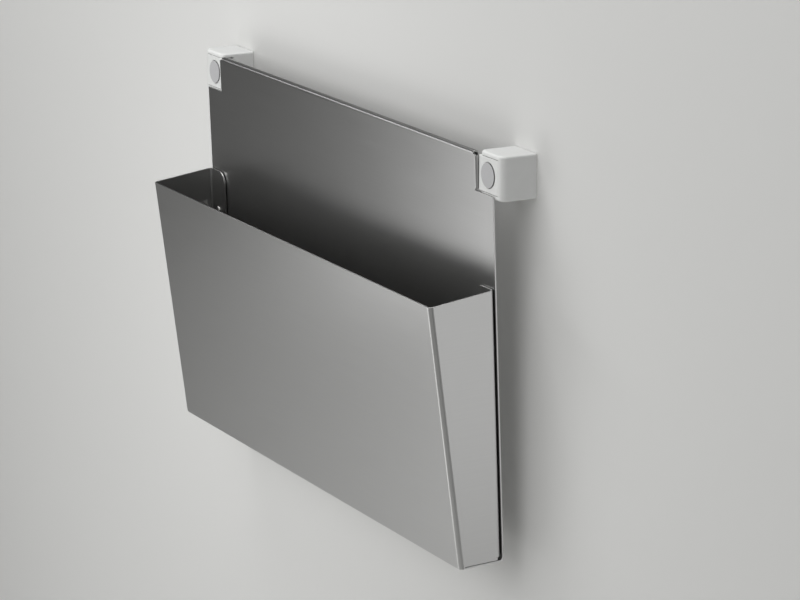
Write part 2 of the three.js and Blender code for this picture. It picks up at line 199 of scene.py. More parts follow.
@dataclass(frozen=True)
class SatinStainless(VariedFinish):
    """Cold-rolled stainless sheet, ground to a fine satin along its length.

    The eye gets a neutral grey mirror that is blurred across the grain, faint streaks along it, and
    broad soft waves where the thin sheet isn't dead flat.
    """

    name: str = "satin_ground_stainless_steel"
    dark: str = "#c0c0bf"
    light: str = "#c6c6c5"
    metallic: float = 0.98  # the ground surface scatters a little light like a matt one
    roughness: float = 0.30
    roughness_spread: float = 0.015
    anisotropy: float = 0.3
    streak_width: float = 0.7  # mm; 240 grit lines are 0.1 mm wide, too fine to show, so coarser
    streak_length: float = 70.0
    wave_length: float = 160.0
    wave_height: float = 0.04
    streak_height: float = 0.0001

    def surface(self, tree: NodeTree) -> NodeSocket:
        """Add the nodes of the surface.

        Args:
            tree: node tree of the material.

        Returns:
            The shader's output.
        """
        flat = add_node(tree, "ShaderNodeUVMap", {}, uv_map=GRAIN_MAP).outputs["UV"]
        place = add_node(tree, "ShaderNodeTexCoord", {}).outputs["Object"]
        stretch = (1 / (self.streak_length * MM), 1 / (self.streak_width * MM), 1.0)
        along = add_node(tree, "ShaderNodeMapping", {"Vector": flat, "Scale": stretch})
        streaks = add_node(tree, "ShaderNodeTexNoise", {
            "Vector": along.outputs["Vector"], "Scale": 1.0, "Detail": 2.0, "Roughness": 0.5})
        waves = add_node(tree, "ShaderNodeTexNoise", {
            "Vector": place, "Scale": 1 / (self.wave_length * MM), "Detail": 1.0})
        wavy = add_node(tree, "ShaderNodeBump", {
            "Height": waves.outputs["Fac"], "Strength": 1.0, "Distance": self.wave_height * MM})
        ground = add_node(tree, "ShaderNodeBump", {
            "Height": streaks.outputs["Fac"], "Strength": 1.0, "Distance": self.streak_height * MM,
            "Normal": wavy.outputs["Normal"]})
        tangent = add_node(tree, "ShaderNodeTangent", {}, direction_type="UV_MAP", uv_map=GRAIN_MAP)
        shader = add_node(tree, "ShaderNodeBsdfPrincipled", {
            **self.varied(tree, streaks, streaks), "Metallic": self.metallic,
            "Anisotropic": self.anisotropy, "Tangent": tangent.outputs["Tangent"],
            "Normal": ground.outputs["Normal"]})
        return shader.outputs["BSDF"]


@dataclass(frozen=True)
class MouldedPlastic(VariedFinish):
    """ABS moulded in a spark-eroded tool.

    The eye gets an even tone with a soft, broad highlight that the fine pitted texture breaks up.
    """

    roughness: float = 0.45
    roughness_spread: float = 0.06
    ior: float = 1.54
    pit_size: float = 0.45  # mm; real spark texture is half as coarse and wouldn't show
    pit_depth: float = 0.006
    cloud_size: float = 9.0

    def surface(self, tree: NodeTree) -> NodeSocket:
        """Add the nodes of the surface.

        Args:
            tree: node tree of the material.

        Returns:
            The shader's output.
        """
        place = add_node(tree, "ShaderNodeTexCoord", {}).outputs["Object"]
        pits = add_node(tree, "ShaderNodeTexNoise", {
            "Vector": place, "Scale": 1 / (self.pit_size * MM), "Detail": 2.0})
        clouds = add_node(tree, "ShaderNodeTexNoise", {
            "Vector": place, "Scale": 1 / (self.cloud_size * MM), "Detail": 2.0})
        pitted = add_node(tree, "ShaderNodeBump", {
            "Height": pits.outputs["Fac"], "Strength": 1.0, "Distance": self.pit_depth * MM})
        shader = add_node(tree, "ShaderNodeBsdfPrincipled", {
            **self.varied(tree, clouds, pits), "IOR": self.ior, "Normal": pitted.outputs["Normal"]})
        return shader.outputs["BSDF"]


@dataclass(frozen=True)
class SmallMetal(VariedFinish):
    """Metal of a small turned or headed fastener.

    The eye gets a bright metal with a fine mottle from its plating or its turning.
    """

    roughness: float = 0.3
    roughness_spread: float = 0.06
    mottle_size: float = 0.8

    def surface(self, tree: NodeTree) -> NodeSocket:
        """Add the nodes of the surface.

        Args:
            tree: node tree of the material.

        Returns:
            The shader's output.
        """
        place = add_node(tree, "ShaderNodeTexCoord", {}).outputs["Object"]
        mottle = add_node(tree, "ShaderNodeTexNoise", {
            "Vector": place, "Scale": 1 / (self.mottle_size * MM), "Detail": 3.0})
        shader = add_node(tree, "ShaderNodeBsdfPrincipled", {
            **self.varied(tree, mottle, mottle), "Metallic": 1.0})
        return shader.outputs["BSDF"]


@dataclass(frozen=True)
class MattPaint(Finish):
    """Matt emulsion paint of the studio's floor and wall.

    The eye gets a plain pale ground from its front, and nothing from behind, so that it never hides
    the rack.
    """

    colour: str

    def surface(self, tree: NodeTree) -> NodeSocket:
        """Add the nodes of the surface.

        Args:
            tree: node tree of the material.

        Returns:
            The shader's output.
        """
        paint = add_node(tree, "ShaderNodeBsdfDiffuse", {"Color": linear(self.colour)})
        clear = add_node(tree, "ShaderNodeBsdfTransparent", {})
        rear = add_node(tree, "ShaderNodeNewGeometry", {})
        ground = add_node(tree, "ShaderNodeMixShader", {
            0: rear.outputs["Backfacing"], 1: paint.outputs["BSDF"], 2: clear.outputs["BSDF"]})
        return ground.outputs["Shader"]


Finishes = dict[Slot, Material]


def make_finishes() -> Finishes:
    """Build every material once.

    Returns:
        The material of each slot.
    """
    finishes = {
        # A grey satin sheen that runs along the sheet
        Slot.SHEET: SatinStainless(),
        # A small bright glint on each head, smooth from the heading die
        Slot.RIVET: SmallMetal("headed_stainless_steel", "#b9b8b6", "#cac9c7", roughness=0.2),
        # A clean, slightly cool white with soft edges
        Slot.BLOCK: MouldedPlastic("moulded_white_abs", "#e6e7e5", "#ecedeb"),
        # A flat mid grey that stands out from the white round it
        Slot.CAP: MouldedPlastic("moulded_grey_abs", "#bdbdbe", "#c3c3c4", roughness=0.5),
        # A cool, faintly blue silver
        Slot.SCREW: SmallMetal("zinc_plated_steel", "#b9bcc0", "#d0d3d6"),
        # A warm yellow ring in the block's rear
        Slot.INSERT: SmallMetal("turned_brass", "#b8934e", "#d2ae66", roughness=0.28),
    }
    return {slot: finish.make() for slot, finish in finishes.items()}


# Shared mesh tools, all in millimetres until a piece is placed


def new_piece(name: str, shape: bmesh.types.BMesh) -> Object:
    """Make a scene object from a closed shape.

    Args:
        name: name of the object and its mesh.
        shape: faces of the piece; it is freed.

    Returns:
        The new object.
    """
    bmesh.ops.recalc_face_normals(shape, faces=shape.faces)
    for face in shape.faces:
        face.smooth = True
    mesh = bpy.data.meshes.new(name)
    shape.to_mesh(mesh)
    shape.free()
    piece = bpy.data.objects.new(name, mesh)
    bpy.context.scene.collection.objects.link(piece)
    return piece


def settle(piece: Object) -> None:
    """Apply an object's modifiers to its mesh.

    Args:
        piece: object that ends with a plain mesh.
    """
    graph = bpy.context.evaluated_depsgraph_get()
    drafted = piece.data
    piece.data = bpy.data.meshes.new_from_object(
        piece.evaluated_get(graph), preserve_all_data_layers=True, depsgraph=graph)
    piece.modifiers.clear()
    bpy.data.meshes.remove(drafted)
    piece.data.name = piece.name


def carve(piece: Object, *tools: Object) -> None:
    """Cut tools out of a piece and delete them.

    Args:
        piece: object that is cut.
        tools: closed objects whose space is taken away.
    """
    for tool in tools:
        cut = piece.modifiers.new(tool.name, "BOOLEAN")
        cut.object = tool
        cut.operation = "DIFFERENCE"
        cut.solver = "EXACT"
    settle(piece)
    for tool in tools:
        bpy.data.meshes.remove(tool.data)


def break_edges(piece: Object, width: float, steps: int = 2) -> None:
    """Round the sharp edges of a piece a little and keep its flats flat to the light.

    Args:
        piece: object whose edges are rounded.
        width: size of the rounding in millimetres.
        steps: facets across it.
    """
    edge = piece.modifiers.new("edge break", "BEVEL")
    edge.width = width
    edge.segments = steps
    edge.limit_method = "ANGLE"
    edge.angle_limit = SHARP
    edge.use_clamp_overlap = False
    flats = piece.modifiers.new("flats", "WEIGHTED_NORMAL")
    flats.weight = 100  # the larger face wins
    flats.keep_sharp = True
    settle(piece)


def put(
    piece: Object, place: Matrix, body: Body, slot: Slot, finishes: Finishes, node: str
) -> None:
    """Place a finished piece in the frame, dress it and hide the solid that it stands for.

    Args:
        piece: object drawn in millimetres.
        place: where its drawing lies in the frame, in millimetres.
        body: body that it rides on.
        slot: slot of the record that it takes its finish from.
        finishes: materials of the object.
        node: solid that it stands for.
    """
    piece.data.transform(Matrix.Scale(MM, 4) @ place)
    piece.data.materials.clear()
    piece.data.materials.append(finishes[slot])
    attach(piece, body.value)
    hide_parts(node)
    LOG.info("%s stands for %s", piece.name, node)


def arc(centre: Point, radius: float, start: float, end: float, steps: int) -> list[Point]:
    """Points along an arc.

    Args:
        centre: middle of the arc.
        radius: radius of the arc.
        start: first angle in degrees.
        end: last angle in degrees.
        steps: facets along it.

    Returns:
        The points, both ends included.
    """
    angles = [math.radians(start + (end - start) * i / steps) for i in range(steps + 1)]
    return [(centre[0] + radius * math.cos(a), centre[1] + radius * math.sin(a)) for a in angles]


def prism(name: str, outline: Sequence[Point], axis: str, low: float, high: float) -> Object:
    """Extrude a closed outline along an axis.

    Args:
        name: name of the object.
        outline: corners in the other two axes, in the order of the alphabet.
        axis: X, Y or Z.
        low: where the prism starts along the axis.
        high: where it ends.

    Returns:
        The closed object.
    """
    index = "XYZ".index(axis)
    shape = bmesh.new()
    rings = []
    for along in (low, high):
        places = [list(point) for point in outline]
        for place in places:
            place.insert(index, along)
        rings.append([shape.verts.new(place) for place in places])
    count = len(outline)
    for i in range(count):
        j = (i + 1) % count
        shape.faces.new((rings[0][i], rings[0][j], rings[1][j], rings[1][i]))
    for ring in rings:
        shape.faces.new(ring)
    return new_piece(name, shape)


def lathe(name: str, profile: Sequence[tuple[Radius, float]]) -> Object:
    """Revolve a profile round the Y axis.

    Args:
        name: name of the object.
        profile: radius and place along Y of each ring; a radius may depend on the angle. The
            profile starts and ends on the axis, or its ends are joined.

    Returns:
        The closed object.
    """
    shape = bmesh.new()
    angles = [math.tau * i / TURNED_STEPS for i in range(TURNED_STEPS)]
    rings = []
    for radius, along in profile:
        if radius == 0:
            rings.append([shape.verts.new((0, along, 0))] * TURNED_STEPS)
            continue
        sizes = [radius(a) if callable(radius) else radius for a in angles]
        places = [(r * math.cos(a), along, r * math.sin(a)) for r, a in zip(sizes, angles)]
        rings.append([shape.verts.new(place) for place in places])
    pairs = list(zip(rings, rings[1:]))
    if profile[0][0] != 0:
        pairs.append((rings[-1], rings[0]))
    for first, second in pairs:
        for i in range(TURNED_STEPS):
            j = (i + 1) % TURNED_STEPS
            shape.faces.new(dict.fromkeys((first[i], first[j], second[j], second[i])))
    return new_piece(name, shape)


# Bent sheets


@dataclass(frozen=True)
class Corner:
    """Corner of a sheet's middle line, with the middle radius of its bend, in millimetres."""

    first: float
    second: float
    bend: float = 0.0


def bent_line(corners: Sequence[Corner]) -> list[Vector]:
    """Draw a sheet's middle line, with an arc at each bend.

    Args:
        corners: both ends of the line and the corners between them.

    Returns:
        Points along the line, in two dimensions.
    """
    places = [Vector((c.first, c.second)) for c in corners]
    line = [places[0]]
    for before, at, after, corner in zip(places, places[1:], places[2:], corners[1:]):
        arrive = (at - before).normalized()
        leave = (after - at).normalized()
        turn = math.atan2(arrive.cross(leave), arrive.dot(leave))
        start = at - arrive * corner.bend * math.tan(abs(turn) / 2)
        inward = Vector((-arrive.y, arrive.x)) * math.copysign(corner.bend, turn)
        for i in range(BEND_STEPS + 1):
            line.append(start + inward + Matrix.Rotation(turn * i / BEND_STEPS, 2) @ -inward)
    line.append(places[-1])
    return [line[0]] + [b for a, b in zip(line, line[1:]) if (b - a).length > TINY]


def with_stops(line: Sequence[Vector], axis: int, values: Sequence[float]) -> list[Vector]:
    """Add points to a line where one of its coordinates reaches given values.

    Args:
        line: points in two dimensions.
        axis: which coordinate is compared.
        values: where points are added.

    Returns:
        The line with its new points.
    """
    result = [line[0]]
    for a, b in zip(line, line[1:]):
        low, high = sorted((a[axis], b[axis]))
        inside = [v for v in values if low + TINY < v < high - TINY]
        inside.sort(reverse=a[axis] > b[axis])
        result += [a.lerp(b, (v - a[axis]) / (b[axis] - a[axis])) for v in inside]
        result.append(b)
    return result


def running_lengths(line: Sequence[Vector]) -> list[float]:
    """Measure along a line from its start to each of its points.

    Args:
        line: points in two dimensions.

    Returns:
        One length for each point.
    """
    lengths = [0.0]
    for a, b in zip(line, line[1:]):
        lengths.append(lengths[-1] + (b - a).length)
    return lengths


class SheetNet:
    """Middle surface of a bent sheet, gathered cell by cell and then given its thickness."""

    def __init__(self) -> None:
        """Start with no cells."""
        self.shape = bmesh.new()
        self.grain = self.shape.loops.layers.uv.new(GRAIN_MAP)
        self.corners: dict[tuple[int, ...], bmesh.types.BMVert] = {}

    def corner(self, place: Vector) -> bmesh.types.BMVert:
        """Find or make the vertex at a place, which neighbouring cells share.

        Args:
            place: a point of the sheet.

        Returns:
            The only vertex there.
        """
        key = tuple(round(value / TINY) for value in place)
        if key not in self.corners:
            self.corners[key] = self.shape.verts.new(place)
        return self.corners[key]

    def fill(
        self,
        places: Sequence[Sequence[Vector]],
        grain: Sequence[Sequence[Point]],
        keeps: Callable[[int, int], bool],
    ) -> None:
        """Add the cells of a grid that belong to the sheet.

        Args:
            places: the grid's points, column by column.
            grain: the same points on the sheet laid flat, along and across its grain.
            keeps: says whether the cell after a column and a row is sheet.
        """
        for i in range(len(places) - 1):
            for j in range(len(places[0]) - 1):
                if not keeps(i, j):
                    continue
                ring = ((i, j), (i + 1, j), (i + 1, j + 1), (i, j + 1))
                face = self.shape.faces.new([self.corner(places[a][b]) for a, b in ring])
                for loop, (a, b) in zip(face.loops, ring):
                    loop[self.grain].uv = [value * MM for value in grain[a][b]]

    def solid(self, name: str, thickness: float, edge_break: float) -> Object:
        """Thicken the net evenly to both sides and break its cut edges.

        Args:
            name: name of the object.
            thickness: thickness of the sheet in millimetres.
            edge_break: rounding of its cut edges in millimetres.

        Returns:
            The closed object.
        """
        piece = new_piece(name, self.shape)
        sheet = piece.modifiers.new("sheet", "SOLIDIFY")
        sheet.thickness = thickness
        sheet.offset = 0.0
        sheet.use_even_offset = True
        settle(piece)
        break_edges(piece, edge_break)
        return piece


@dataclass(frozen=True)
class RackSizes:
    """Sizes that several pieces share, in millimetres and degrees, as the rack stands upright.

    Y = 0 is the rear of the plate and Z = 0 the height of the clamp screws.
    """

    sheet: float = 1.0
    edge_break: float = 0.14
    plate_width: float = 400.0
    plate_height: float = 258.0
    plate_rise: float = 12.8
    plate_lean: float = 2.15
    pocket_drop: float = 87.0
    pocket_depth_top: float = 46.0
    pocket_depth_bottom: float = 30.0
    pocket_bend: float = 2.0
    floor_bend: float = 2.0
    flange_gap: float = 0.75
    block_width: float = 27.5
    block_height: float = 28.0
    block_depth: float = 24.6
    block_overhang: float = 8.2
    cover_width: float = 22.5
    cover_height: float = 22.0
    lug_setback: float = 10.0

    @property
    def half_width(self) -> float:
        """Half the plate's width."""
        return self.plate_width / 2

    @property
    def floor_under(self) -> float:
        """Underside of the floor."""
        return self.plate_rise - self.plate_height

    @property
    def plate_mid(self) -> float:
        """Middle of the plate's thickness."""
        return -self.sheet / 2

    @property
    def front_top(self) -> float:
        """Outside of the front panel at its rim."""
        return -self.sheet - self.pocket_depth_top

    @property
    def front_bottom(self) -> float:
        """Outside of the front panel at its foot."""
        return -self.sheet - self.pocket_depth_bottom

    @property
    def rim_z(self) -> float:
        """Height of the front rim."""
        return self.plate_rise - self.pocket_drop

    @property
    def front_slope(self) -> float:
        """How far the front panel leans out for each millimetre up."""
        return (self.pocket_depth_top - self.pocket_depth_bottom) / (self.rim_z - self.floor_under)

    @property
    def block_inner(self) -> float:
        """Inner side of each block."""
        return self.half_width + self.block_overhang - self.block_width

    @property
    def lean_slope(self) -> float:
        """How far the plate goes back for each millimetre down."""
        return math.tan(math.radians(self.plate_lean))

    @property
    def standoff(self) -> float:
        """Distance of the plate's rear from the wall at the clamp screws."""
        return self.block_depth + FIT + self.block_height / 2 * self.lean_slope

    @property
    def place(self) -> Matrix:
        """Where the upright rack hangs in the frame, in millimetres."""
        lean = Matrix.Rotation(math.radians(self.plate_lean), 4, "X")
        return Matrix.Translation((0, -self.standoff, 0)) @ lean

    def leaning_y(self, rack_y: float, z: float) -> float:
        """Distance from the wall, at a height, of a plane of the leaning rack."""
        depth = rack_y / math.cos(math.radians(self.plate_lean))
        return -self.standoff + depth - z * self.lean_slope


@dataclass
class BackPlate:
    """Back plate with its hem, stepped lugs, floor and floor lip, bent from one sheet."""

    rack: RackSizes
    hem_height: float = 10.0
    hem_space: float = 2.0
    hem_crown: float = 0.2
    hem_relief: float = 2.0
    notch_gap: float = 0.7
    notch_drop: float = 0.8
    lug_play: float = 0.6
    lug_length: float = 19.0
    lug_bend: float = 0.1
    lug_relief: float = 0.2  # flat beside each bend, which keeps the edge breaks clear of it
    lip_height: float = 12.0
    lip_bend: float = 1.0

    @property
    def notch_x(self) -> float:
        """Upright edge of each notch."""
        bend_start = self.rack.block_inner - self.notch_gap - self.rack.sheet - self.lug_bend
        return bend_start - self.lug_relief

    @property
    def notch_z(self) -> float:
        """Level edge of each notch."""
        return -self.rack.cover_height / 2 - self.notch_drop

    @property
    def lug_half(self) -> float:
        """Half the height of a lug."""
        return self.rack.cover_height / 2 - self.lug_play

    @property
    def floor_notch_x(self) -> float:
        """Where the floor stops short of the shell's upright corners."""
        return self.rack.half_width - self.rack.sheet - self.rack.pocket_bend - FIT

    @property
    def floor_notch_y(self) -> float:
        """How far forward the floor goes beside its notches."""
        return self.rack.front_bottom + self.rack.sheet + self.rack.pocket_bend + 2 * FIT

    def section(self) -> list[Vector]:
        """Draw the middle line over the hem, down the plate and along the floor to its lip.

        Returns:
            Points in Y and Z.
        """
        rack = self.rack
        half = rack.sheet / 2
        hem_mid = rack.plate_mid + rack.sheet + self.hem_space
        crown_mid = rack.plate_rise - half
        crown_bend = (self.hem_space - self.hem_crown) / 2 + half
        floor_mid = rack.floor_under + half
        tilt = math.atan(rack.front_slope)
        lip_mid = rack.front_bottom + rack.sheet + (FIT + half) / math.cos(tilt)
        lip_foot = lip_mid - half * rack.front_slope
        return bent_line([
            Corner(hem_mid, rack.plate_rise - self.hem_height),
            Corner(hem_mid, crown_mid, crown_bend),
            Corner(rack.plate_mid, crown_mid, crown_bend),
            Corner(rack.plate_mid, floor_mid, rack.floor_bend + half),
            Corner(lip_foot, floor_mid, self.lip_bend + half),
            Corner(lip_foot - self.lip_height * rack.front_slope, floor_mid + self.lip_height),
        ])

    def columns(self) -> list[float]:
        """Find the places across the plate where its outline changes.

        Returns:
            Places along X, from left to right.
        """
        hem_end = self.notch_x - self.hem_relief
        half = (hem_end, self.notch_x, self.floor_notch_x, self.rack.half_width)
        return [*(-x for x in reversed(half)), *half]

    def lug(self, side: Side) -> list[Vector]:
        """Draw the middle line of a lug that steps back into its block.

        Args:
            side: end of the plate.

        Returns:
            Points in X and Y.
        """
        rack = self.rack
        web_x = rack.block_inner - self.notch_gap - rack.sheet / 2
        lug_mid = rack.plate_mid + rack.lug_setback
        bend = self.lug_bend + rack.sheet / 2
        return bent_line([
            Corner(side.value * self.notch_x, rack.plate_mid),
            Corner(side.value * web_x, rack.plate_mid, bend),
            Corner(side.value * web_x, lug_mid, bend),
            Corner(side.value * (web_x + self.lug_length), lug_mid),
        ])

    def build(self) -> Object:
        """Build the bent sheet.

        Returns:
            The sheet of the upright rack.
        """
        rack = self.rack
        rows = with_stops(self.section(), 1, (self.lug_half, -self.lug_half, self.notch_z))
        rows = with_stops(rows, 0, (self.floor_notch_y,))
        lengths = running_lengths(rows)
        columns = self.columns()

        def keeps(i: int, j: int) -> bool:
            """Say whether a cell is sheet.

            Args:
                i: column before the cell.
                j: row before the cell.

            Returns:
                False in the plate's notches, beside the shorter hem and in the floor's notches.
            """
            x = abs(columns[i] + columns[i + 1]) / 2
            y, z = (rows[j] + rows[j + 1]) / 2
            if x > self.notch_x and z > self.notch_z:
                return False
            if x > self.notch_x - self.hem_relief and y > rack.plate_mid + TINY:
                return False
            return x < self.floor_notch_x or y > self.floor_notch_y

        net = SheetNet()
        net.fill(
            [[Vector((x, *row)) for row in rows] for x in columns],
            [[(x, length) for length in lengths] for x in columns],
            keeps,
        )
        for side in Side:
            line = self.lug(side)
            heights = (-self.lug_half, self.lug_half)
            net.fill(
                [[Vector((*point, z)) for z in heights] for point in line],
                [[(length, z) for z in heights] for length in running_lengths(line)],
                lambda i, j: True,
            )
        return net.solid("back_plate_sheet", rack.sheet, rack.edge_break)

    def dress(self, finishes: Finishes) -> None:
        """Build the plate and put it in its place."""
        put(self.build(), self.rack.place, Body.RACK, Slot.SHEET, finishes, "back_plate")


@dataclass
class PocketShell:
    """Front panel, two sides and two rear flanges, bent from one sheet."""

    rack: RackSizes
    flange_width: float = 22.0
    flange_bend: float = 1.5
    flange_corner: float = 8.0
    flange_steps: int = 6  # so few that the edge break stays inside the first

    @property
    def flange_end(self) -> float:
        """Free edge of each flange."""
        return self.rack.half_width - self.flange_width

    @property
    def flange_mid(self) -> float:
        """Middle of the flanges' thickness."""
        return -self.rack.sheet - self.rack.flange_gap - self.rack.sheet / 2

    def rim(self, y: float) -> float:
        """Height of the rim, which lies square to the front panel."""
        return self.rack.rim_z + (y - self.rack.front_top) * self.rack.front_slope

    def ring(self, front: float) -> list[Vector]:
        """Draw the middle line of the shell, seen from above.

        Args:
            front: outside of the front panel at this height.

        Returns:
            Points in X and Y, from the right flange round to the left one.
        """
        rack = self.rack
        half = rack.sheet / 2
        side = rack.half_width - half
        flange = self.flange_bend + half
        pocket = rack.pocket_bend + half
        line = bent_line([
            Corner(self.flange_end, self.flange_mid),
            Corner(side, self.flange_mid, flange),
            Corner(side, front + half, pocket),
            Corner(-side, front + half, pocket),
            Corner(-side, self.flange_mid, flange),
            Corner(-self.flange_end, self.flange_mid),
        ])
        turns = [math.pi / 2 * i / self.flange_steps for i in range(1, self.flange_steps + 1)]
        stops = [self.flange_end + self.flange_corner * (1 - math.cos(turn)) for turn in turns]
        return with_stops(line, 0, [sign * stop for sign in (-1, 1) for stop in stops])

    def top(self, point: Vector) -> float:
        """Find the shell's upper edge, which falls at the flanges' rounded corners.

        Args:
            point: a point of the upper ring.

        Returns:
            Height of the edge there.
        """
        height = self.rim(point.y)
        short = self.flange_end + self.flange_corner - abs(point.x)
        if abs(point.y - self.flange_mid) < TINY and short > 0:
            height -= self.flange_corner - math.sqrt(max(self.flange_corner**2 - short**2, 0.0))
        return height

    def build(self) -> Object:
        """Build the bent sheet.

        Returns:
            The sheet of the upright rack.
        """
        rack = self.rack
        low_ring = self.ring(rack.front_bottom)
        high_ring = self.ring(rack.front_top)
        side_foot = rack.floor_under + rack.sheet + FIT
        rear_foot = side_foot + rack.floor_bend
        front_line = rack.front_bottom + rack.sheet + rack.pocket_bend + FIT
        rear_line = self.flange_mid - self.flange_bend - rack.sheet / 2 - TINY
        places = []
        for low, high in zip(low_ring, high_ring):
            foot = Vector((*low, rack.floor_under))
            head = Vector((*high, self.rim(high.y)))
            # Three bands: beside the floor, beside its bend and above both
            heights = (rack.floor_under, side_foot, rear_foot, self.top(high))
            places.append([foot.lerp(head, (z - foot.z) / (head.z - foot.z)) for z in heights])

        def keeps(i: int, j: int) -> bool:
            """Say whether a cell is sheet.

            Args:
                i: place along the ring before the cell.
                j: band of the cell.

            Returns:
                False under the flanges and under the flat sides, where the floor passes.
            """
            y = (low_ring[i].y + low_ring[i + 1].y) / 2
            flat_side = abs(low_ring[i].x - low_ring[i + 1].x) < TINY
            if y > rear_line:
                return j == 2
            return j > 0 or (y < front_line and not flat_side)

        net = SheetNet()
        lengths = running_lengths(high_ring)
        net.fill(places, [[(s, p.z) for p in column] for s, column in zip(lengths, places)], keeps)
        return net.solid("pocket_shell_sheet", rack.sheet, rack.edge_break)

    def dress(self, finishes: Finishes) -> None:
        """Build the shell and put it in its place."""
        put(self.build(), self.rack.place, Body.RACK, Slot.SHEET, finishes, "pocket_shell")


@dataclass
class FlangeRivets:
    """Dome-headed rivets that hold the shell's flanges to the plate."""

    rack: RackSizes
    per_side: int = 3
    radius: float = 1.6
    head_radius: float = 3.2
    head_height: float = 1.4
    tail_radius: float = 2.6
    tail_height: float = 1.2
    tail_edge: float = 0.4

    def build(self, name: str) -> Object:
        """Revolve one rivet, head to the front and tail behind the plate.

        Args:
            name: name of the object.

        Returns:
            The rivet about its own axis.
        """
        head_seat = -2 * self.rack.sheet - self.rack.flange_gap - FIT
        dome = arc((0.0, 0.0), 1.0, 90, 0, CORNER_STEPS)
        tail = arc((0.0, 0.0), 1.0, 0, 90, CORNER_STEPS // 2)
        tail_flat = self.tail_radius - self.tail_edge
        tail_wall = FIT + self.tail_height - self.tail_edge
        return lathe(name, [
            (0.0, head_seat - self.head_height),
            *((self.head_radius * x, head_seat - self.head_height * y) for x, y in dome[1:]),
            (self.radius, head_seat),
            (self.radius, FIT),
            (self.tail_radius, FIT),
            *((tail_flat + self.tail_edge * x, tail_wall + self.tail_edge * y) for x, y in tail),
            (0.0, FIT + self.tail_height),
        ])

    def dress(self, finishes: Finishes) -> None:
        """Build the rivets and put each where its solid is.

        Args:
            finishes: materials of the object.
        """
        upright = self.rack.place.inverted()
        for side in Side:
            for number in range(1, self.per_side + 1):
                node = f"flange_rivet_{side.label}_{number}"
                low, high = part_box(node)
                seat = upright @ ((low + high) / 2 / MM)
                piece = self.build(f"{node}_dome")
                place = self.rack.place @ Matrix.Translation((seat.x, 0, seat.z))
                break_edges(piece, self.rack.edge_break / 2)
                put(piece, place, Body.RACK, Slot.RIVET, finishes, node)


# Corner blocks, each drawn about its own clamp screw


